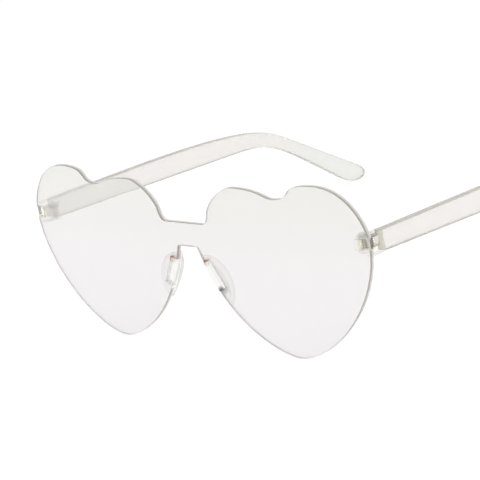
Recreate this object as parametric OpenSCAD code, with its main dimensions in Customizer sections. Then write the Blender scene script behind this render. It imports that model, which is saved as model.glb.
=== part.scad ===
// Heart shaped sunglasses in clear plastic.
// Both hearts and the bridge between them are cut from one curved sheet. There is no rim.
// A moulded end piece sits in a notch at each outer edge, and a temple turns in it on a screw.
// A moulded nose pad sits in a notch in each inner edge.
// The glasses stand open on their two heart tips and two temple tips, at height zero.
// Lengths are in millimetres. The wearer looks along -Y, so the wearer's left is +X.

/* [Lens sheet] */
// Width over both hearts, at their widest
lens_w = 146; // [134:1:154]
// Height of a heart, from its tip to its outer lobe
heart_h = 54.2; // [49:0.2:59]
// Thickness of the sheet
lens_t = 1.6; // [1.4:0.1:2]
// Radius of the large ball that the sheet is a patch of
lens_curve_r = 621; // [450:1:900]
// Height of the bridge, from its lower to its upper edge
bridge_h = 7.5; // [6:0.1:9]
// Width of the nose gap where it meets the bridge
nose_gap_w = 8.4; // [7:0.1:11]

/* [Temples] */
// Reach of a temple behind the face that it butts against
temple_reach = 137; // [124:1:146]
// Height of a temple where it meets its end piece
temple_h = 6.4; // [6:0.1:7.4]
// Thickness of a temple at the hinge
temple_t = 3.2; // [2.8:0.1:3.8]
// Thickness of a temple at its tip
temple_tip_t = 2.4; // [2:0.1:2.8]
// How far a temple's outer face stands outside the lens
temple_overhang = 0.3; // [0:0.1:0.8]
// How much further in the temple's outer face lies at its tip
temple_toe_in = 0.4; // [0:0.1:2]

/* [Hinges] */
// Distance of the hinge axis inside the temple's outer face
axis_in = 5.5; // [5.2:0.1:6.2]
// Distance of the hinge axis in front of the butt face
axis_ahead = 2; // [1.9:0.1:2.3]
// Radius of the hinge barrel
barrel_r = 1.6; // [1.5:0.05:1.8]
// Height of the hinge barrel, over both ears of the end piece
barrel_h = 5.2; // [4.8:0.1:6]
// Height of the temple's knuckle, in the slot between the ears
knuckle_h = 3; // [2.6:0.1:3.2]
// Radius of the hinge screw's shank
screw_r = 0.6; // [0.5:0.05:0.7]
// Radius of the screw head
screw_head_r = 1.15; // [1:0.05:1.25]
// Height of the screw head
screw_head_h = 0.65; // [0.5:0.05:0.9]

/* [End pieces] */
// Length of the end piece's block behind the lens
block_len = 4.2; // [4:0.1:4.8]
// Height of the front lip, which is also the height of the notch behind it
lip_h = 3.3; // [2.8:0.1:4]
// How far the middle of the lip lies above the middle of the block
lip_rise = 0.7; // [0:0.1:1]
// Length of the front lip across the lens
lip_len = 3.3; // [3:0.1:3.8]
// How far the lip's outer end stops short of the lens edge
lip_short = 1.9; // [1.5:0.1:2.2]
// How far the front lip stands proud of the lens
lip_proud = 0.75; // [0.6:0.05:1.1]
// Depth of the notch in the outer edge of the lens
end_notch_d = 3.7; // [3:0.1:4.2]

/* [Nose pads] */
// Bulge of the leaf that lies on the back of the lens
leaf_bulge = 5.8; // [5:0.1:6.5]
// Thickness of that leaf
leaf_t = 0.9; // [0.7:0.1:1.3]
// Length of the fin that rests on the nose
fin_len = 16.5; // [14:0.5:17]
// Depth of the fin behind the lens
fin_d = 2.8; // [2.4:0.1:3.6]
// Thickness of the fin
fin_t = 1.3; // [1:0.1:1.6]
// Angle by which the fin opens outward, in degrees
fin_splay_angle = 12; // [5:1:25]
// Length of the notch in the inner edge of the lens
pad_notch_len = 10; // [8:0.5:11]
// Depth of that notch behind the chord of the pad
pad_notch_d = 2.4; // [2:0.1:3]

/* [Hidden] */

// Fineness of the rounds and of each stretch of an outline
$fn = 128;
ball_fn = 256;
curve_steps = 16;
corner_steps = 6;

// Clearances and the overrun that all cuts share
glue_gap = 0.05;
run_fit = 0.05;
thread_fit = 0.02;
butt_gap = 0.15;
knuckle_gap = 0.1;
swing_gap = 0.25;
head_gap = 0.1;
overrun = 1;

// Places in the sheet, as shares of its half width and of the heart's height
half_w = lens_w / 2;
apex_share = 0.29;
hinge_share = 0.677;
brow_corner_share = [0.11, 0.742];
lobe_foot_share = [0.147, 0.804];
inner_lobe_share = [0.315, 0.9675];
cleft_share = [0.531, 0.9156];
outer_lobe_share = [0.7395, 1];
side_share = [1, 0.695];
tip_share = [0.5245, 0];
// Directions of the outline, in degrees from +X, where it isn't level or upright
lobe_foot_angle = 77;
nose_flank_angle = 107.6;
// Handles of each stretch, as shares of its width or height
brow_shares = [0.6, 0.55];
inner_rise_shares = [0.42, 0.38];
inner_fall_shares = [0.69, 0.2];
outer_rise_shares = [0.6, 0.85];
shoulder_shares = [0.78, 0.2];
outer_flank_shares = [0.52, 0.38];
nose_flank_shares = [0.12, 0.85];

apex_z = apex_share * heart_h;
hinge_z = hinge_share * heart_h;

function at(share) = [share[0] * half_w, share[1] * heart_h];
function heading(dir) = [cos(dir), sin(dir)];
function bezier(p, t) =
    pow(1 - t, 3) * p[0] + 3 * pow(1 - t, 2) * t * p[1] + 3 * (1 - t) * t * t * p[2] + t * t * t * p[3];
function trace(p) = [for (i = [0 : curve_steps - 1]) bezier(p, i / curve_steps)];
function reversed(list) = [for (i = [len(list) - 1 : -1 : 0]) list[i]];
function mirrored(list) = [for (p = list) [-p[0], p[1]]];

// A box with round corners, walked from its lower left corner
function rounded_box(w, h, r) = [
    for (k = [0 : 3])
        for (i = [0 : corner_steps])
            let (
                turn = 180 + 90 * k + 90 * i / corner_steps,
                mid_x = (k == 0 || k == 3) ? r : w - r,
                mid_y = (k < 2) ? r : h - r
            )
            [mid_x + r * cos(turn), mid_y + r * sin(turn)]
];

brow_corner = at(brow_corner_share);
lobe_foot = at(lobe_foot_share);
inner_lobe = at(inner_lobe_share);
cleft = at(cleft_share);
outer_lobe = at(outer_lobe_share);
side = at(side_share);
tip = at(tip_share);
nose_foot = [nose_gap_w / 2, brow_corner[1] - bridge_h];

// Each stretch of the right hand heart's outline: a start, two handles and an end
brow_curve = [
    brow_corner,
    brow_corner + [brow_shares[0] * (lobe_foot[0] - brow_corner[0]), 0],
    lobe_foot - heading(lobe_foot_angle) * brow_shares[1] * (lobe_foot[1] - brow_corner[1]),
    lobe_foot
];
inner_rise = [
    lobe_foot,
    lobe_foot + heading(lobe_foot_angle) * inner_rise_shares[0] * (inner_lobe[1] - lobe_foot[1]),
    inner_lobe - [inner_rise_shares[1] * (inner_lobe[0] - lobe_foot[0]), 0],
    inner_lobe
];
inner_fall = [
    inner_lobe,
    inner_lobe + [inner_fall_shares[0] * (cleft[0] - inner_lobe[0]), 0],
    cleft - [inner_fall_shares[1] * (cleft[0] - inner_lobe[0]), 0],
    cleft
];
outer_rise = [
    cleft,
    cleft + [outer_rise_shares[0] * (outer_lobe[0] - cleft[0]), 0],
    outer_lobe - [outer_rise_shares[1] * (outer_lobe[0] - cleft[0]), 0],
    outer_lobe
];
shoulder = [
    outer_lobe,
    outer_lobe + [shoulder_shares[0] * (side[0] - outer_lobe[0]), 0],
    side + [0, shoulder_shares[1] * (outer_lobe[1] - side[1])],
    side
];
outer_flank = [
    side,
    side - [0, outer_flank_shares[0] * (side[1] - tip[1])],
    tip + [outer_flank_shares[1] * (side[0] - tip[0]), 0],
    tip
];
nose_flank = [
    tip,
    tip - [nose_flank_shares[0] * (tip[0] - nose_foot[0]), 0],
    nose_foot - heading(nose_flank_angle) * nose_flank_shares[1] * (nose_foot[1] - tip[1]),
    nose_foot
];
half_outline = concat(
    trace(brow_curve), trace(inner_rise), trace(inner_fall), trace(outer_rise),
    trace(shoulder), trace(outer_flank), trace(nose_flank), [nose_foot]
);
outline = concat(half_outline, mirrored(reversed(half_outline)));

// Depth of the middle of the sheet behind its foremost point
function sag(x, z) = lens_curve_r - sqrt(pow(lens_curve_r, 2) - x * x - pow(z - apex_z, 2));
side_depth = sag(half_w, hinge_z);

// Places that the end pieces and the temples share
outer_x = half_w + temple_overhang;
inner_x = outer_x - temple_t;
butt_y = side_depth + lens_t / 2 + block_len;
axis_x = outer_x - axis_in;
axis_y = butt_y - axis_ahead;
slot_h = knuckle_h + 2 * knuckle_gap;
tongue_x = axis_x + 2.1 * barrel_r;
slot_x = tongue_x + swing_gap;
tip_y = butt_y + temple_reach;
// The frame's middle in depth, so that the glasses are centred on the origin
middle_y = (tip_y - lens_t / 2) / 2;

// The front lip, which overlaps the lens on the inner side of the notch
lip_mid_x = half_w - lip_short - lip_len / 2;
lip_y = sag(half_w - end_notch_d, hinge_z + lip_rise) - lens_t / 2;
lip_z = hinge_z + lip_rise;
lip_corner = 0.15 * lip_h;
// The block's wall carries on the line of the temple, and the ears of the hinge stand in from it
wall_plan = [
    [inner_x, 0],
    [outer_x, 0],
    [outer_x, butt_y],
    [inner_x, butt_y]
];
// The ears' flat sides stop a little inside the round of the barrel
barrel_step = 0.06 * barrel_r;
barrel_low = hinge_z - barrel_h / 2;
barrel_top = hinge_z + barrel_h / 2;
head_seat_d = 0.7 * screw_head_h;
ear_plan = [
    [axis_x, side_depth],
    [(inner_x + outer_x) / 2, side_depth],
    [(inner_x + outer_x) / 2, butt_y],
    [inner_x, butt_y],
    [inner_x, axis_y + barrel_r - barrel_step],
    [axis_x, axis_y + barrel_r - barrel_step],
    [axis_x - barrel_r + barrel_step, axis_y]
];

// A temple's upper and lower edge: a long bar, a bend and a straight fall to the tip.
// Places are shares of its reach and of the edge's height at the hinge.
temple_y = butt_y + butt_gap;
temple_top = hinge_z + temple_h / 2;
temple_low = hinge_z - temple_h / 2;
top_bend_share = [0.25, 0.952];
top_knee_share = [0.755, 0.638];
top_end_share = 0.969;
low_bend_share = [0.545, 0.833];
low_knee_share = [0.8375, 0.355];
low_end_share = 0.914;
tip_low_share = 0.977;
tip_nose_share = 0.046;
top_fall_angle = -33.2;
low_fall_angle = -38.1;
top_bend_shares = [0.78, 0.12];
low_bend_shares = [0.43, 0.55];
tip_shares = [0.4, 0.45, 0.6, 0.55, 0.4, 0.35];

function along(share) = butt_y + temple_reach * share;
function fall(from, y, dir) = [y, from[1] + (y - from[0]) * tan(dir)];
function bend(from, start, to, dir, shares) = [
    start,
    start + (start - from) / norm(start - from) * norm(to - start) * shares[0],
    to - heading(dir) * norm(to - start) * shares[1],
    to
];

top_start = [temple_y, temple_top];
top_bend = [along(top_bend_share[0]), temple_top * top_bend_share[1]];
top_knee = [along(top_knee_share[0]), temple_top * top_knee_share[1]];
top_end = fall(top_knee, along(top_end_share), top_fall_angle);
tip_nose = [tip_y, hinge_z * tip_nose_share];
tip_low = [along(tip_low_share), 0];
low_start = [temple_y, temple_low];
low_bend = [along(low_bend_share[0]), temple_low * low_bend_share[1]];
low_knee = [along(low_knee_share[0]), temple_low * low_knee_share[1]];
low_end = fall(low_knee, along(low_end_share), low_fall_angle);

tip_over = [
    top_end,
    top_end + heading(top_fall_angle) * tip_shares[0] * (tip_nose[0] - top_end[0]),
    tip_nose + [0, tip_shares[1] * (top_end[1] - tip_nose[1])],
    tip_nose
];
tip_round = [
    tip_nose,
    tip_nose - [0, tip_shares[2] * (tip_nose[1] - tip_low[1])],
    tip_low + [tip_shares[3] * (tip_nose[0] - tip_low[0]), 0],
    tip_low
];
tip_under = [
    tip_low,
    tip_low - [tip_shares[4] * (tip_low[0] - low_end[0]), 0],
    low_end + heading(low_fall_angle) * tip_shares[5] * (tip_low[0] - low_end[0]),
    low_end
];
temple_profile = concat(
    [top_start],
    trace(bend(top_start, top_bend, top_knee, top_fall_angle, top_bend_shares)),
    [top_knee],
    trace(tip_over), trace(tip_round), trace(tip_under),
    [low_end],
    reversed(trace(bend(low_start, low_bend, low_knee, low_fall_angle, low_bend_shares))),
    [low_start]
);
temple_plan = [
    [outer_x, temple_y],
    [outer_x - temple_toe_in, tip_y + overrun],
    [outer_x - temple_toe_in - temple_tip_t, tip_y + overrun],
    [inner_x, temple_y]
];
// The tongue that carries the temple's knuckle, with its gusset along the temple's inner face
gusset_len = 2 * barrel_r;
tongue_plan = [
    [axis_x, axis_y - barrel_r / 2],
    [tongue_x, axis_y - barrel_r / 2],
    [tongue_x, butt_y + gusset_len],
    [inner_x, butt_y + gusset_len],
    [axis_x, axis_y + barrel_r - barrel_step]
];

// The chord of a nose pad, between two places along the heart's inner flank
pad_low_share = 0.72;
pad_high_share = 0.965;
pad_low = bezier(nose_flank, pad_low_share);
pad_high = bezier(nose_flank, pad_high_share);
pad_mid = (pad_low + pad_high) / 2;
pad_chord = norm(pad_high - pad_low);
pad_lean = atan2(pad_low[0] - pad_high[0], pad_high[1] - pad_low[1]);
leaf_r = (pow(pad_chord / 2, 2) + pow(leaf_bulge, 2)) / (2 * leaf_bulge);
fin_r = (pow(fin_len / 2, 2) + pow(fin_d, 2)) / (2 * fin_d);
// The leaf is flat, so its glue fills the sheet's rise under it
leaf_gap = glue_gap + pow(pad_chord / 2, 2) / (2 * lens_curve_r);
// The notch sits a little above the middle of the chord
notch_up = 0.15 * pad_notch_len;
catch_r = 0.4 * pad_notch_d;
catch_proud = 0.5 * leaf_t;
plug_proud = 0.2 * leaf_t;

clear_plastic = [0.93, 0.93, 0.95, 0.55];
milky_plastic = [0.9, 0.91, 0.88, 0.75];
screw_metal = [0.62, 0.63, 0.66];

// A frame on the sheet, with its origin in the sheet's middle and +Y square to the sheet
module on_sheet(x, z) {
    pitch = asin((z - apex_z) / lens_curve_r);
    turn = asin(x / (lens_curve_r * cos(pitch)));
    translate([0, lens_curve_r, apex_z])
        rotate([-pitch, 0, turn])
            translate([0, -lens_curve_r, 0])
                children();
}

// What lies behind the sheet, in such a frame
module behind(gap) {
    translate([-butt_y, lens_t / 2 + gap, -butt_y])
        cube(2 * butt_y);
}

// The two hearts and their bridge, drawn straight through in depth
module hearts_through() {
    rotate([90, 0, 0])
        linear_extrude(height = 2 * (side_depth + lens_t + block_len), center = true)
            polygon(outline);
}

// The large ball, with its surface the given step outside the sheet's middle
module ball(step) {
    translate([0, lens_curve_r, apex_z])
        sphere(r = lens_curve_r + step, $fn = ball_fn);
}

// The sheet before its notches are cut
module hearts_sheet() {
    intersection() {
        hearts_through();
        difference() {
            ball(lens_t / 2);
            ball(-lens_t / 2);
        }
    }
}

// A frame on the pad's chord, with +X away from the nose and +Z up along the chord
module on_pad() {
    on_sheet(pad_mid[0], pad_mid[1])
        rotate([0, -pad_lean, 0])
            children();
}

// The pad's notch in that frame, narrowed by a fit on every side, from front to back
module pad_notch(fit, front, back) {
    translate([-pad_notch_len, -front, notch_up - pad_notch_len / 2 + fit])
        cube([pad_notch_len + pad_notch_d - fit, front + back, pad_notch_len - 2 * fit]);
}

// The box of the end piece's notch
module end_notch() {
    translate([half_w - end_notch_d, -overrun, lip_z - lip_h / 2])
        cube([end_notch_d + overrun, butt_y, lip_h]);
}

module both_sides() {
    children();
    mirror([1, 0, 0])
        children();
}

// The one piece lens, with its four notches
module lens_sheet() {
    color(clear_plastic)
        difference() {
            hearts_sheet();
            both_sides() {
                end_notch();
                on_pad()
                    pad_notch(0, lens_t / 2 + overrun, lens_t / 2 + overrun);
            }
        }
}

// A flat plate with rounded corners, facing forward, with its lower inner corner at the origin
module lip_plate(depth) {
    translate([0, depth, 0])
        rotate([90, 0, 0])
            linear_extrude(height = depth)
                polygon(rounded_box(lip_len, lip_h, lip_corner));
}

// The lip, flat on the front of the lens
module end_lip() {
    on_sheet(lip_mid_x, lip_z)
        translate([-lip_len / 2, -lens_t / 2 - glue_gap - lip_proud, -lip_h / 2])
            lip_plate(lip_proud);
}

// A box in the notch, between two places across the glasses, from the given depth back into the block
module web_box(from_x, to_x, from_y) {
    translate([from_x, from_y, lip_z - lip_h / 2 + glue_gap])
        cube([to_x - from_x, butt_y - block_len / 2 - from_y, lip_h - 2 * glue_gap]);
}

// The web joins the lip to the block through the notch, and beside the lip it is flush with the lens
module end_web() {
    web_box(half_w - end_notch_d + glue_gap, half_w - lip_short - lip_corner, lip_y - lip_proud / 2);
    web_box(half_w - end_notch_d + glue_gap, half_w, sag(half_w, lip_z) - lens_t / 2);
}

// The block behind the lens: a wall as high as the temple, and the two ears of the hinge
module end_block() {
    intersection() {
        union() {
            translate([0, 0, temple_low])
                linear_extrude(height = temple_h)
                    polygon(wall_plan);
            translate([0, 0, barrel_low])
                linear_extrude(height = barrel_h)
                    polygon(ear_plan);
            translate([axis_x, axis_y, barrel_low])
                cylinder(r = barrel_r, h = barrel_h);
        }
        on_sheet(axis_x, hinge_z)
            behind(glue_gap);
    }
}

// The slot between the ears, which takes the temple's knuckle and tongue
module knuckle_slot() {
    slot_in_x = axis_x - barrel_r - overrun;
    slot_y = axis_y - barrel_r - swing_gap;
    translate([slot_in_x, slot_y, hinge_z - slot_h / 2])
        cube([slot_x - slot_in_x, butt_y + overrun - slot_y, slot_h]);
}

module end_piece() {
    color(clear_plastic)
        difference() {
            union() {
                end_lip();
                end_web();
                end_block();
            }
            knuckle_slot();
            translate([axis_x, axis_y, barrel_low - overrun])
                cylinder(r = screw_r + thread_fit, h = barrel_h + 2 * overrun);
            translate([axis_x, axis_y, barrel_top - head_seat_d])
                cylinder(r = screw_head_r + head_gap, h = head_seat_d + overrun);
        }
}

// The screw goes in from above, and its head sits in the top of the barrel
module hinge_screw() {
    point_h = screw_r / 2;
    driver_slot_w = screw_r / 2;
    color(screw_metal)
        translate([axis_x, axis_y, barrel_low])
            difference() {
                union() {
                    cylinder(r1 = screw_r / 2, r2 = screw_r, h = point_h);
                    translate([0, 0, point_h])
                        cylinder(r = screw_r, h = barrel_h - head_seat_d - point_h);
                    translate([0, 0, barrel_h - head_seat_d])
                        cylinder(r = screw_head_r, h = screw_head_h);
                }
                translate([
                    -screw_head_r - overrun,
                    -driver_slot_w / 2,
                    barrel_h - head_seat_d + screw_head_h / 2
                ])
                    cube([2 * screw_head_r + 2 * overrun, driver_slot_w, screw_head_h]);
            }
}

// The temple's side view, drawn through in width, and its thickness in plan
module temple_bar() {
    intersection() {
        rotate([90, 0, 90])
            linear_extrude(height = outer_x + overrun)
                polygon(temple_profile);
        translate([0, 0, -overrun])
            linear_extrude(height = temple_top + 2 * overrun)
                polygon(temple_plan);
    }
}

module temple() {
    color(milky_plastic)
        difference() {
            union() {
                temple_bar();
                translate([0, 0, hinge_z - knuckle_h / 2])
                    linear_extrude(height = knuckle_h)
                        polygon(tongue_plan);
                translate([axis_x, axis_y, hinge_z - knuckle_h / 2])
                    cylinder(r = barrel_r, h = knuckle_h);
            }
            translate([axis_x, axis_y, hinge_z - slot_h])
                cylinder(r = screw_r + run_fit, h = 2 * slot_h);
        }
}

// The plug fills the lens notch and ends flush with the heart's edge
module pad_plug() {
    intersection() {
        on_pad()
            pad_notch(glue_gap, lens_t / 2 + plug_proud, lens_t / 2 + leaf_t);
        hearts_through();
    }
}

// The leaf lies on the back of the lens, with a round outer edge
module pad_leaf() {
    intersection() {
        on_pad()
            translate([leaf_bulge - leaf_r, lens_t / 2 + leaf_t, 0])
                rotate([90, 0, 0])
                    cylinder(r = leaf_r, h = leaf_t - leaf_gap);
        hearts_through();
        on_pad()
            translate([-leaf_bulge / 2, 0, -pad_chord / 2])
                cube([2 * leaf_bulge, lens_t + leaf_t, pad_chord]);
    }
}

// The fin stands back from the leaf and opens outward, so its face lies along the nose
module pad_fin() {
    on_pad()
        intersection() {
            behind(leaf_gap);
            translate([-fin_t / 2, lens_t / 2, 0])
                rotate([0, 0, -fin_splay_angle])
                    translate([0, fin_d - fin_r, 0])
                        rotate([0, 90, 0])
                            cylinder(r = fin_r, h = fin_t);
        }
}

// The catch holds the front of the lens above the notch
module pad_catch() {
    on_pad()
        translate([pad_notch_d / 2, -lens_t / 2 - glue_gap, notch_up + pad_notch_len / 2 - catch_r / 2])
            rotate([90, 0, 0])
                cylinder(r = catch_r, h = catch_proud);
}

module nose_pad() {
    color(clear_plastic)
        union() {
            pad_plug();
            pad_leaf();
            pad_fin();
            pad_catch();
        }
}

// The glasses centred on the origin in depth, and the wearer's right side as a mirror of the left
module placed() {
    translate([0, -middle_y, 0])
        children();
}
module placed_right() {
    placed()
        mirror([1, 0, 0])
            children();
}

module lens() { placed() lens_sheet(); }
module left_end_piece() { placed() end_piece(); }
module right_end_piece() { placed_right() end_piece(); }
module left_temple() { placed() temple(); }
module right_temple() { placed_right() temple(); }
module left_hinge_screw() { placed() hinge_screw(); }
module right_hinge_screw() { placed_right() hinge_screw(); }
module left_nose_pad() { placed() nose_pad(); }
module right_nose_pad() { placed_right() nose_pad(); }

lens();
left_end_piece();
right_end_piece();
left_temple();
right_temple();
left_hinge_screw();
right_hinge_screw();
left_nose_pad();
right_nose_pad();
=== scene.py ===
# %% [markdown]
# # Heart shaped sunglasses in clear plastic
#
# These glasses have no rim. Both hearts and the bridge between them are one thin curved
# sheet of clear plastic. Moulded end pieces and nose pads sit in notches in its edge, and
# a milky clear temple turns on a small screw at each side.
#
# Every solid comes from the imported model, in metres and in its own place. This lesson
# adds what the eye needs: a camera, a plain white studio, clear and milky plastics, the
# steel of two small screws, and rounded edges.

from math import cos, radians, sin

import bpy
from mathutils import Matrix, Vector


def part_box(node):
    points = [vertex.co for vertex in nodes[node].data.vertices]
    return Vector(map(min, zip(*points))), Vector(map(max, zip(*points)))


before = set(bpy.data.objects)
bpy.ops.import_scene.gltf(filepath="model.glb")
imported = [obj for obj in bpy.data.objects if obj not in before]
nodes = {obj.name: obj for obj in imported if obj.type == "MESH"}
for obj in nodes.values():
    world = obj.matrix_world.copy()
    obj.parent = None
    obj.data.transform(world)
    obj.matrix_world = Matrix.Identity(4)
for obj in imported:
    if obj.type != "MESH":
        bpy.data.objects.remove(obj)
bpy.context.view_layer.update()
mm = 0.001
print("pieces:", sorted(nodes))

# %% [markdown]
# ## The camera
#
# The photograph looks at the glasses from their front left and a little above, with a
# long lens, so that near and far heart are nearly the same size. A camera could be aimed
# with a constraint. Here it is placed by its bearing, its tilt and its roll, because
# those three numbers say in plain words where the photographer stood.

# %% The directions of the view
view_bearing = radians(48.4538)
view_tilt = radians(16.5485)
view_roll = radians(-11.8479)

look = Vector((
    -sin(view_bearing) * cos(view_tilt),
    cos(view_bearing) * cos(view_tilt),
    -sin(view_tilt),
))
level_right = Vector((cos(view_bearing), sin(view_bearing), 0))
level_up = level_right.cross(look)
right = level_right * cos(view_roll) + level_up * sin(view_roll)
up = level_up * cos(view_roll) - level_right * sin(view_roll)
print("the camera looks along", [round(part, 3) for part in look])

# %% Camera at the photograph's viewing angle
camera_place = Vector((0.723063, -0.692784, 0.314008))
camera_lens_mm = 247.473
film_width_mm = 36
nearest_seen = 10 * mm
picture_pixels = 480
half_pixel = 0.5 / picture_pixels

camera_data = bpy.data.cameras.new("view")
camera_data.lens = camera_lens_mm
camera_data.sensor_width = film_width_mm
camera_data.clip_start = nearest_seen
camera_data.shift_x = -half_pixel
camera_data.shift_y = half_pixel
camera = bpy.data.objects.new("view", camera_data)
camera.matrix_world = Matrix((
    (right.x, up.x, -look.x, camera_place.x),
    (right.y, up.y, -look.y, camera_place.y),
    (right.z, up.z, -look.z, camera_place.z),
    (0, 0, 0, 1),
))
bpy.context.scene.collection.objects.link(camera)
bpy.context.scene.camera = camera
print("camera is %.2f m from the glasses" % camera_place.length)

# %% [markdown]
# ## The paper floor
#
# The photograph is a white studio picture, and clear plastic has no colour of its own
# there: it shows what lies behind it, bent and dimmed. The white could be a backdrop lit
# by lamps. Here the floor is one large sheet of paper that glows a little by itself,
# because such a floor stays evenly white and shows almost no shadow. The small tools made
# first, for adding a node and for turning a number into a colour, serve all later
# finishes too.

# %% Tools for nodes and colours
grain_low, grain_high = 0.3, 0.7


def add_node(tree, kind, **settings):
    node = tree.nodes.new(kind)
    for name, value in settings.items():
        setattr(node, name, value)
    return node


def ramp(tree, source, *stops):
    """A colour that follows a number, through stops of a number and a colour each."""
    node = add_node(tree, "ShaderNodeValToRGB")
    while len(node.color_ramp.elements) < len(stops):
        node.color_ramp.elements.new(0.5)
    for element, (place, colour) in zip(node.color_ramp.elements, stops):
        element.position = place
        element.color = (*colour, 1)
    tree.links.new(source, node.inputs["Fac"])
    return node.outputs["Color"]


def grey(level):
    return (level, level, level)


print("tools ready: add_node, ramp, grey")

# %% White paper floor
floor_reach = 6
paper_grain = 40
paper_dark, paper_light = 0.245, 0.25
paper_glow = 3.24
paper_roughness = 0.9

floor_mesh = bpy.data.meshes.new("floor")
floor_mesh.from_pydata(
    [
        (-floor_reach, -floor_reach, 0), (floor_reach, -floor_reach, 0),
        (floor_reach, floor_reach, 0), (-floor_reach, floor_reach, 0),
    ],
    [], [(0, 1, 2, 3)],
)
floor = bpy.data.objects.new("floor", floor_mesh)
bpy.context.scene.collection.objects.link(floor)

paper = bpy.data.materials.new("studio_paper")
paper.use_nodes = True
paper_tree = paper.node_tree
paper_shader = paper_tree.nodes["Principled BSDF"]
grain = add_node(paper_tree, "ShaderNodeTexNoise")
grain.inputs["Scale"].default_value = paper_grain
paper_tone = ramp(
    paper_tree, grain.outputs["Fac"],
    (grain_low, grey(paper_dark)), (grain_high, grey(paper_light)),
)
paper_tree.links.new(paper_tone, paper_shader.inputs["Base Color"])
paper_tree.links.new(paper_tone, paper_shader.inputs["Emission Color"])
paper_shader.inputs["Emission Strength"].default_value = paper_glow
paper_shader.inputs["Roughness"].default_value = paper_roughness
paper_shader.inputs["Specular IOR Level"].default_value = 0
floor_mesh.materials.append(paper)
print("floor is %d m square" % (2 * floor_reach))

# %% [markdown]
# ## The sky
#
# Soft light could come from large area lamps. A plain sky gives the same soft light with
# nothing to place. It is as bright overhead as the floor is, and a little darker low down
# around the glasses. That darker band helps draw the fine grey lines along the cut edges,
# as black cards do in a real studio, and painted shade in the finishes draws the rest.

# %% Soft light from the sky
sky_around = 0.85
sky_overhead = 1.0
band_top, sky_start = 0.2, 0.45


def along(tree, vector, axis):
    """A vector's part along an axis."""
    parts = add_node(tree, "ShaderNodeSeparateXYZ")
    tree.links.new(vector, parts.inputs["Vector"])
    return parts.outputs[axis]


world = bpy.data.worlds.new("studio")
world.use_nodes = True
sky = world.node_tree
direction = add_node(sky, "ShaderNodeTexCoord").outputs["Generated"]
sky_tone = ramp(
    sky, along(sky, direction, "Z"),
    (0.0, grey(sky_around)), (band_top, grey(sky_around)),
    (sky_start, grey(sky_overhead)), (1.0, grey(sky_overhead)),
)
sky.links.new(sky_tone, sky.nodes["Background"].inputs["Color"])
bpy.context.scene.world = world
bpy.context.scene.view_settings.view_transform = "Standard"
print("sky is %.2f around and %.2f overhead" % (sky_around, sky_overhead))

# %% [markdown]
# ## Shares and tints
#
# The finishes below are mixed from shares between 0 and 1: how far a place is cut, glued
# or stained. Each could be a chain of nodes written out in full. Small tools with plain
# names do the same and keep each finish short enough to read: one starts a finish, one
# stretches a number over a span, one joins two shares, one takes the rest of a share, and
# two make tints.

# %% Tools that mix
cloud_low, cloud_high = 0.35, 0.65
cloud_detail = 3


def new_finish(name):
    finish = bpy.data.materials.new(name)
    finish.use_nodes = True
    return finish, finish.node_tree, finish.node_tree.nodes["Principled BSDF"]


def span(tree, source, start, end, at_start=0, at_end=1):
    """Follows a number from start to end, going from at_start to at_end and no further."""
    node = add_node(tree, "ShaderNodeMapRange")
    node.inputs["From Min"].default_value = start
    node.inputs["From Max"].default_value = end
    node.inputs["To Min"].default_value = at_start
    node.inputs["To Max"].default_value = at_end
    tree.links.new(source, node.inputs["Value"])
    return node.outputs["Result"]


def joined(tree, how, share, other_share):
    both = add_node(tree, "ShaderNodeMath", operation=how)
    tree.links.new(share, both.inputs[0])
    tree.links.new(other_share, both.inputs[1])
    return both.outputs["Value"]


def rest_of(tree, share):
    return span(tree, share, 0, 1, 1, 0)


def blend(tree, share, tint, other_tint):
    """Goes from a tint to another one as the share goes from 0 to 1."""
    mix = add_node(tree, "ShaderNodeMix", data_type="RGBA")
    tree.links.new(share, mix.inputs["Factor"])
    tree.links.new(tint, mix.inputs["A"])
    mix.inputs["B"].default_value = (*other_tint, 1)
    return mix.outputs["Result"]


def drifting_tint(tree, place, cloud_mm, tint, other_tint):
    """Drifts between two tints in soft clouds, as the flow of moulded plastic does."""
    cloud = add_node(tree, "ShaderNodeTexNoise")
    cloud.inputs["Scale"].default_value = 1 / (cloud_mm * mm)
    cloud.inputs["Detail"].default_value = cloud_detail
    tree.links.new(place.outputs["Object"], cloud.inputs["Vector"])
    return ramp(tree, cloud.outputs["Fac"], (cloud_low, tint), (cloud_high, other_tint))


print("tools ready: new_finish, span, joined, rest_of, blend, drifting_tint")

# %% [markdown]
# ## Places on a piece
#
# No piece looks the same all over: a sawn edge is rougher than a polished face, and a
# glued notch is paler than a free edge. Such places could be painted by hand. Here each
# is found by where it lies or by which way it faces. Every piece lies in the model's own
# metres, so a place found this way stays on its piece from whatever side it is seen.
#
# The sheet is a patch of a large ball. The distance from the middle of that ball tells
# how deep in the sheet a point lies, anywhere on the sheet.

# %% Tools that find a place
ball_place = (0, 547.881 * mm, 15.718 * mm)
ball_radius = 621 * mm
half_sheet_mm = 0.8
seam_mm = 0.02
squarely = (0.8, 0.95)


def unsigned(tree, number):
    size = add_node(tree, "ShaderNodeMath", operation="ABSOLUTE")
    tree.links.new(number, size.inputs[0])
    return size.outputs["Value"]


def facing(tree, place, axis):
    """How squarely the surface looks along an axis, either way, from 0 to 1."""
    return unsigned(tree, along(tree, place.outputs["Normal"], axis))


def distance_from(tree, vector, spot):
    away = add_node(tree, "ShaderNodeVectorMath", operation="DISTANCE")
    tree.links.new(vector, away.inputs[0])
    away.inputs[1].default_value = spot
    return away.outputs["Value"]


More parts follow.
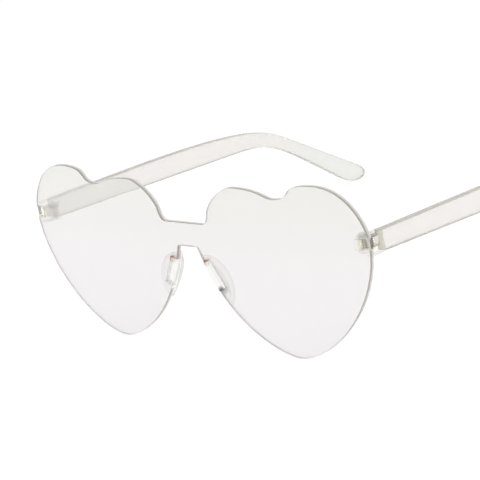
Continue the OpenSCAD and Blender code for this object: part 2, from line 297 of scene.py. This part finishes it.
def near_spot(tree, place, spot_mm, full_mm, end_mm, mirrored=True):
    """1 close to a spot, and close to its mirror image too, fading to 0."""
    where = place.outputs["Object"]
    if mirrored:
        one_side = add_node(tree, "ShaderNodeVectorMath", operation="ABSOLUTE")
        tree.links.new(where, one_side.inputs[0])
        where = one_side.outputs["Vector"]
        spot_mm = [abs(length) for length in spot_mm]
    spot = [length * mm for length in spot_mm]
    return span(tree, distance_from(tree, where, spot), end_mm * mm, full_mm * mm)


def sheet_depth(tree, place, from_mm, to_mm):
    """Goes from 0 to 1 between two distances in front of the sheet's middle."""
    away = distance_from(tree, place.outputs["Object"], ball_place)
    return span(tree, away, ball_radius + from_mm * mm, ball_radius + to_mm * mm)


def outside_sheet(tree, place):
    """0 within the thickness of the sheet, where the plugs are glued, and 1 outside."""
    inner_mm, outer_mm = half_sheet_mm - seam_mm, half_sheet_mm + seam_mm
    behind = sheet_depth(tree, place, -inner_mm, -outer_mm)
    before = sheet_depth(tree, place, inner_mm, outer_mm)
    return joined(tree, "MAXIMUM", behind, before)


print("the sheet is a patch of a ball %.2f m across" % (2 * ball_radius))

# %% [markdown]
# ## Plastic that bends light
#
# The sheet and the temples are thick enough to bend what is seen through them. They could
# be plain glass with a tint. A real moulding isn't so even: where light travels along a
# piece and not through it, the edge looks darker, and that is painted shade in its tint;
# where it is glued or matt, it looks pale. So one function makes both plastics from three
# looks: clear, edge with painted shade, and pale. The direction of the surface tells the
# shaded edges, and each piece says for itself which of its places are pale.

# %% The plastic of the sheet and the temples
pale_tint = (0.99, 0.98, 0.95)
pale_clearness = 0.1


def bending_plastic(
    name, tint_of, roughness, clearness, bend,
    deep_axis, edge_span, deep_tint, edge_roughness, edge_clearness, pale_of,
):
    """The plastic has painted edge shade where it faces along the given axis, as the span
    says.

    pale_of takes that share and gives two: what keeps the painted shade, and what is pale.
    """
    finish, tree, shader = new_finish(name)
    place = add_node(tree, "ShaderNodeTexCoord")
    may_be_shaded_edge = span(tree, facing(tree, place, deep_axis), *edge_span)
    is_deep, is_pale = pale_of(tree, place, may_be_shaded_edge)
    # The edge tint is painted shade, and the pale places lie over it.
    tint = blend(tree, is_deep, tint_of(tree, place), deep_tint)
    tint = blend(tree, is_pale, tint, pale_tint)
    rough = span(tree, is_deep, 0, 1, roughness, edge_roughness)
    clear = span(tree, is_deep, 0, 1, clearness, edge_clearness)
    clear = joined(tree, "MULTIPLY", clear, span(tree, is_pale, 0, 1, 1, pale_clearness))
    tree.links.new(tint, shader.inputs["Base Color"])
    tree.links.new(rough, shader.inputs["Roughness"])
    tree.links.new(clear, shader.inputs["Transmission Weight"])
    shader.inputs["IOR"].default_value = bend
    return finish


print("pale places keep %.0f %% of the clearness" % (100 * pale_clearness))

# %% [markdown]
# ## The clear sheet
#
# The hearts are sawn from a curved clear sheet. Its faces look along Y and stay clear,
# with a faint rose grey that turns greener towards the top. All the rest is its cut edge,
# with painted shade at the front of the sheet that draws the dark line round each heart,
# and paler behind. The four notches are pale where the glue fills them. Only near the lower
# end of the wearer's left pad the notch isn't pale, and the painted shade stays on the edge.
#
# The notches could be parts with a finish of their own. They are spots in this one
# finish, because the sheet is one piece.

# %% Finish of the sheet
rise_from_mm, rise_to_mm = 27, 50
low_tint, high_tint = (0.964, 0.938, 0.948), (0.925, 0.922, 0.888)
rear_from_mm, rear_to_mm, rear_paleness = -0.4, 0.1, 0.6
# A spot of painted shade at the lower end of the wearer's left pad.
shade_spot_mm = (11.7, -72.8, 19.75)
pad_notch = dict(spot_mm=(10.5, -72.4, 24), full_mm=5.8, end_mm=6.2)
hinge_notch = dict(spot_mm=(70.8, -68.6, 37.4), full_mm=2.4, end_mm=2.8)
edge_shade_spot = dict(spot_mm=shade_spot_mm, full_mm=1.6, end_mm=4.5, mirrored=False)


def rising_tint(tree, place):
    height = along(tree, place.outputs["Object"], "Z")
    rise = span(tree, height, rise_from_mm * mm, rise_to_mm * mm)
    return ramp(tree, rise, (0, low_tint), (1, high_tint))


def pale_notches(tree, place, is_cut):
    rear = sheet_depth(tree, place, rear_from_mm, rear_to_mm)
    rear = span(tree, rear, 0, 1, rear_paleness, 0)
    glued = joined(
        tree, "MAXIMUM",
        near_spot(tree, place, **pad_notch), near_spot(tree, place, **hinge_notch),
    )
    pale = joined(tree, "MAXIMUM", rear, glued)
    # Near that spot the sheet's edge keeps its painted shade.
    pale = joined(tree, "MULTIPLY", pale, rest_of(tree, near_spot(tree, place, **edge_shade_spot)))
    shaded_part = rest_of(tree, pale)
    return joined(tree, "MULTIPLY", is_cut, shaded_part), joined(tree, "MULTIPLY", is_cut, pale)


# The dark tint on the sheet's cut edge is painted shade.
sheet = bending_plastic(
    "clear_sheet", rising_tint, roughness=0, clearness=0.78, bend=1.58,
    deep_axis="Y", edge_span=(0.9, 0.7), deep_tint=(0.48, 0.44, 0.4),
    edge_roughness=0.45, edge_clearness=0.35, pale_of=pale_notches,
)
print(sheet.name, "has", len(sheet.node_tree.nodes), "nodes")

# %% [markdown]
# ## The milky temples
#
# The temples are moulded in a milky plastic, a little greener towards their tips. Their
# long sides look along X and let light through. The upper and lower edges look along Z,
# and there a darker line of painted shade stands for light running the long way through.
# Milk could be made with light that scatters inside the plastic, which takes long to
# render. A lower clearness gives the same look in a bar this thin.
#
# The front end of each temple sits in the hinge. It is left as it came from the mould,
# pale and matt, and shows through the clear hinge block.

# %% Finish of the temples
bar_tints = ((0.99, 0.965, 0.945), (0.98, 0.954, 0.93))
bar_cloud_mm = 12
tip_tint = (0.945, 0.95, 0.915)
tip_from_mm, tip_to_mm = 10, 55


def milky_tint(tree, place):
    length = along(tree, place.outputs["Object"], "Y")
    to_tip = span(tree, length, tip_from_mm * mm, tip_to_mm * mm)
    return blend(tree, to_tip, drifting_tint(tree, place, bar_cloud_mm, *bar_tints), tip_tint)


def matt_front_end(tree, place, is_deep):
    return is_deep, span(tree, facing(tree, place, "Y"), *squarely)


# The dark tint on the upper and lower edges is painted shade.
milky = bending_plastic(
    "milky_moulding", milky_tint, roughness=0.15, clearness=0.7, bend=1.5,
    deep_axis="Z", edge_span=(0.45, 0.8), deep_tint=(0.63, 0.6, 0.54),
    edge_roughness=0.3, edge_clearness=0.4, pale_of=matt_front_end,
)
print(milky.name, "has", len(milky.node_tree.nodes), "nodes")

# %% [markdown]
# ## Clear mouldings
#
# The end pieces and nose pads are small, clear and full of faces that lie close together.
# In the photograph they nearly vanish, and only their rounded edges show as fine grey
# lines. A full glass shader would show a tangle of reflections here. So most of the light
# goes straight through with a little tint, and a small share is still bent and mirrored
# as in glass. A rim of painted shade draws the grey lines where the surface turns away
# from the view, and paints a little shade on the faces along one axis. Inside the sheet
# the plugs are glued in, and glued faces get no painted rim shade.
#
# Painted spots of reflection and shade lie under the painted rim shade, and marks of painted
# shade lie over it.

# %% The plastic of end pieces and nose pads
glass_share, glass_bend, glass_roughness = 0.9, 1.45, 0.1
even_turn = 0.5


def clear_moulding(
    name, tints, cloud_mm, rim_tint, rim_span, side_axis, side_span, side_share, bent_share,
    painted_spots=(), marks=(),
):
    """Each painted spot or shade mark is a function that finds its place, and a tint."""
    finish, tree, shader = new_finish(name)
    place = add_node(tree, "ShaderNodeTexCoord")
    tint = drifting_tint(tree, place, cloud_mm, *tints)
    for found, spot_tint in painted_spots:
        tint = blend(tree, found(tree, place), tint, spot_tint)
    # Painted shade on the rim, where the surface turns away from the view.
    turned = add_node(tree, "ShaderNodeLayerWeight")
    turned.inputs["Blend"].default_value = even_turn
    rim = span(tree, turned.outputs["Facing"], *rim_span)
    side = span(tree, facing(tree, place, side_axis), *side_span, 0, side_share)
    rim = joined(tree, "MAXIMUM", rim, side)
    rim = joined(tree, "MULTIPLY", rim, outside_sheet(tree, place))
    tint = blend(tree, rim, tint, rim_tint)
    for found, shade_mark_tint in marks:
        tint = blend(tree, found(tree, place), tint, shade_mark_tint)
    shader.inputs["Transmission Weight"].default_value = glass_share
    shader.inputs["IOR"].default_value = glass_bend
    shader.inputs["Roughness"].default_value = glass_roughness
    straight = add_node(tree, "ShaderNodeBsdfTransparent")
    both = add_node(tree, "ShaderNodeMixShader")
    both.inputs["Fac"].default_value = bent_share
    tree.links.new(tint, straight.inputs["Color"])
    tree.links.new(tint, shader.inputs["Base Color"])
    tree.links.new(straight.outputs["BSDF"], both.inputs[1])
    tree.links.new(shader.outputs["BSDF"], both.inputs[2])
    tree.links.new(both.outputs["Shader"], tree.nodes["Material Output"].inputs["Surface"])
    return finish


print("the glass in the mouldings has %.0f %% of clear light" % (100 * glass_share))

# %% [markdown]
# ## The end pieces
#
# An end piece is a clear block with a thin web that fills the notch in the sheet. Its
# upper and lower faces take a little of the painted rim shade, so the block shows as a
# shape. The outer end of the web was sawn off with the sheet's edge, and its rear half
# gets a dark tint of painted shade: seen from the front, it is the dark purple line in
# the edge of the far heart. It could be a face with a finish of its own. It is found by
# its place, because the mesh of the imported model isn't touched.

# %% Finish of the end pieces
# The dark tint on the rear half of the web's outer end is painted shade.
web_shade_from_mm, web_shade_to_mm, web_shade_blur_mm = 72.8, 73.15, 0.01
web_shade_fade_mm = (0.15, 0.05)
web_shade_tint = (0.42, 0.38, 0.39)


def painted_web_shade(tree, place):
    across = unsigned(tree, along(tree, place.outputs["Object"], "X"))
    beyond = span(tree, across, web_shade_from_mm * mm, (web_shade_from_mm + web_shade_blur_mm) * mm)
    within = span(tree, across, web_shade_to_mm * mm, (web_shade_to_mm - web_shade_blur_mm) * mm)
    looks_out = span(tree, facing(tree, place, "X"), *squarely)
    is_rear = sheet_depth(tree, place, *web_shade_fade_mm)
    web_shade = joined(tree, "MINIMUM", beyond, within)
    web_shade = joined(tree, "MINIMUM", web_shade, looks_out)
    return joined(tree, "MINIMUM", web_shade, is_rear)


# Its rim tint and the web's dark mark are painted shade.
hinge_clear = clear_moulding(
    "hinge_moulding", tints=((0.999, 0.997, 0.982), (0.993, 0.991, 0.965)), cloud_mm=2,
    rim_tint=(0.36, 0.34, 0.32), rim_span=(0.78, 0.97),
    side_axis="Z", side_span=(0.7, 0.9), side_share=0.25, bent_share=0.03,
    marks=[(painted_web_shade, web_shade_tint)],
)
print(hinge_clear.name, "has", len(hinge_clear.node_tree.nodes), "nodes")

# %% [markdown]
# ## The nose pads
#
# A nose pad has a plug in its notch and a thin leaf that spreads over the sheet. The
# leaf's sides take a little of the painted rim shade, which draws its outline. The photograph
# shows a small brown patch at the catch over each plug, a painted warm reflection, and a
# dark spot of painted shade at the lower end of the wearer's left pad. Both could be small
# pieces of their own. They are painted spots in the finish, because they have no thickness.

# %% Finish of the nose pads
catch_mm = (7.3, -73, 28.8)
catch_spot = dict(spot_mm=catch_mm, full_mm=0.8, end_mm=2)
pad_shade_spot = dict(spot_mm=shade_spot_mm, full_mm=1, end_mm=2, mirrored=False)
catch_reflection_tint, pad_shade_tint = (0.72, 0.6, 0.54), (0.24, 0.24, 0.23)


# A painted warm reflection at the catch over each plug.
def painted_catch_reflection(tree, place):
    return near_spot(tree, place, **catch_spot)


# Painted shade in a dark spot at the lower end of the wearer's left pad.
def painted_pad_shade(tree, place):
    return near_spot(tree, place, **pad_shade_spot)


pad_clear = clear_moulding(
    "pad_moulding", tints=((0.97, 0.971, 0.967), (0.957, 0.958, 0.954)), cloud_mm=3,
    rim_tint=(0.5, 0.5, 0.48), rim_span=(0.5, 0.9),
    side_axis="Y", side_span=(0.9, 0.6), side_share=0.12, bent_share=0.06,
    painted_spots=[(painted_catch_reflection, catch_reflection_tint), (painted_pad_shade, pad_shade_tint)],
)
print(pad_clear.name, "has", len(pad_clear.node_tree.nodes), "nodes")

# %% [markdown]
# ## Steel
#
# The hinge screws are plain plated steel, small and slightly matt. Brush marks could be
# drawn with a bump. At this size a fine drift between two greys is all that shows.

# %% Finish of the hinge screws
steel_grain_mm = 0.3
steel_dark, steel_light = (0.6, 0.6, 0.61), (0.72, 0.72, 0.74)
steel_roughness = 0.3

steel, steel_tree, steel_shader = new_finish("screw_steel")
steel_grain = add_node(steel_tree, "ShaderNodeTexNoise")
steel_grain.inputs["Scale"].default_value = 1 / (steel_grain_mm * mm)
steel_tone = ramp(
    steel_tree, steel_grain.outputs["Fac"], (grain_low, steel_dark), (grain_high, steel_light)
)
steel_tree.links.new(steel_tone, steel_shader.inputs["Base Color"])
steel_shader.inputs["Metallic"].default_value = 1
steel_shader.inputs["Roughness"].default_value = steel_roughness
print(steel.name, "has", len(steel_tree.nodes), "nodes")

# %% [markdown]
# ## A finish for every piece
#
# Left and right pieces come from the same moulds, so a piece's finish follows from its
# name without its side. Each could be assigned by hand. A table by kind of piece can't
# leave one out.

# %% Hand out the finishes
finish_of = {
    "lens": sheet,
    "end_piece": hinge_clear,
    "nose_pad": pad_clear,
    "temple": milky,
    "hinge_screw": steel,
}


def kind_of(name):
    return name.replace("left_", "").replace("right_", "")


for name, node in nodes.items():
    for slot in node.material_slots:
        slot.material = finish_of[kind_of(name)]
    print(name, "is", finish_of[kind_of(name)].name)

# %% [markdown]
# ## Marking the edges to round
#
# Tumbling and polishing leave no knife edge on any plastic piece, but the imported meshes
# have sharp ones. They could be rounded in the model, which would cost it thousands of
# faces. Here a small tree of geometry nodes prepares each piece for a bevel: it welds the
# seams, shades the faces smooth between real folds, and marks the outer edges. The small
# knuckle at the front of a temple gets only a share of the bar's roll.

# %% Weld a piece and mark its outer edges
weld_reach = 0.02 * mm
least_fold_degrees = 35
change_over = 0.1 * mm


def above(tree, number, least):
    test = add_node(tree, "ShaderNodeMath", operation="GREATER_THAN")
    tree.links.new(number, test.inputs[0])
    test.inputs[1].default_value = least
    return test.outputs["Value"]


def edge_marks(kind, bar_start=None, front_share=1):
    """Marks the outer edges in full, but those in front of bar_start by front_share only."""
    tree = bpy.data.node_groups.new(kind + "_edges", "GeometryNodeTree")
    for way in ("INPUT", "OUTPUT"):
        tree.interface.new_socket("Geometry", in_out=way, socket_type="NodeSocketGeometry")

    forget = add_node(tree, "GeometryNodeRemoveAttribute")
    forget.inputs["Name"].default_value = "custom_normal"
    weld = add_node(tree, "GeometryNodeMergeByDistance")
    weld.inputs["Distance"].default_value = weld_reach
    smooth = add_node(tree, "GeometryNodeSetShadeSmooth")
    crisp = add_node(tree, "GeometryNodeSetShadeSmooth", domain="EDGE")
    crisp.inputs["Shade Smooth"].default_value = False
    mark = add_node(tree, "GeometryNodeStoreNamedAttribute", domain="EDGE")
    mark.inputs["Name"].default_value = "bevel_weight_edge"

    geometry = add_node(tree, "NodeGroupInput").outputs[0]
    for step in (forget, weld, smooth, crisp, mark):
        tree.links.new(geometry, step.inputs["Geometry"])
        geometry = step.outputs["Geometry"]
    tree.links.new(geometry, add_node(tree, "NodeGroupOutput").inputs[0])

    fold = add_node(tree, "GeometryNodeInputMeshEdgeAngle")
    least_fold = radians(least_fold_degrees)
    is_fold = above(tree, fold.outputs["Unsigned Angle"], least_fold)
    tree.links.new(is_fold, crisp.inputs["Selection"])
    weight = above(tree, fold.outputs["Signed Angle"], least_fold)
    if bar_start is not None:
        where = add_node(tree, "GeometryNodeInputPosition").outputs["Position"]
        length = along(tree, where, "Y")
        share = span(tree, length, bar_start, bar_start + change_over, front_share, 1)
        weight = joined(tree, "MULTIPLY", weight, share)
    tree.links.new(weight, mark.inputs["Value"])
    return tree


print("folds of more than %d degrees count as edges" % least_fold_degrees)

# %% [markdown]
# ## Rounding the edges
#
# After the weld, a second modifier joins what lies flat, so that the bevel meets clean
# faces, and a third one rolls the marked edges over. They are modifiers and not edits,
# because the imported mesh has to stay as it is. The edges of the sheet are only just
# broken, and those of a temple are rounded enough to be soft behind the ear.

# %% Roll the edges over
roll_mm = {
    "lens": 0.2, "end_piece": 0.15, "nose_pad": 0.15, "temple": 0.4, "hinge_screw": 0.08,
}
roll_steps = 4
flat_within = radians(0.5)
knuckle_length = 4 * mm
knuckle_share = 0.2

block_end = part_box("left_end_piece")[1].y
marks_of = {kind: edge_marks(kind) for kind in roll_mm if kind != "temple"}
marks_of["temple"] = edge_marks("temple", block_end + knuckle_length, knuckle_share)

for name, node in nodes.items():
    kind = kind_of(name)
    welded = node.modifiers.new("weld", "NODES")
    welded.node_group = marks_of[kind]
    flats = node.modifiers.new("join_flats", "DECIMATE")
    flats.decimate_type = "DISSOLVE"
    flats.angle_limit = flat_within
    roll = node.modifiers.new("rolled_edge", "BEVEL")
    roll.width = roll_mm[kind] * mm
    roll.segments = roll_steps
    roll.limit_method = "WEIGHT"
    roll.harden_normals = True
    roll.use_clamp_overlap = False
    print(name, "rolled by", roll_mm[kind], "mm, from", len(node.data.vertices), "vertices")
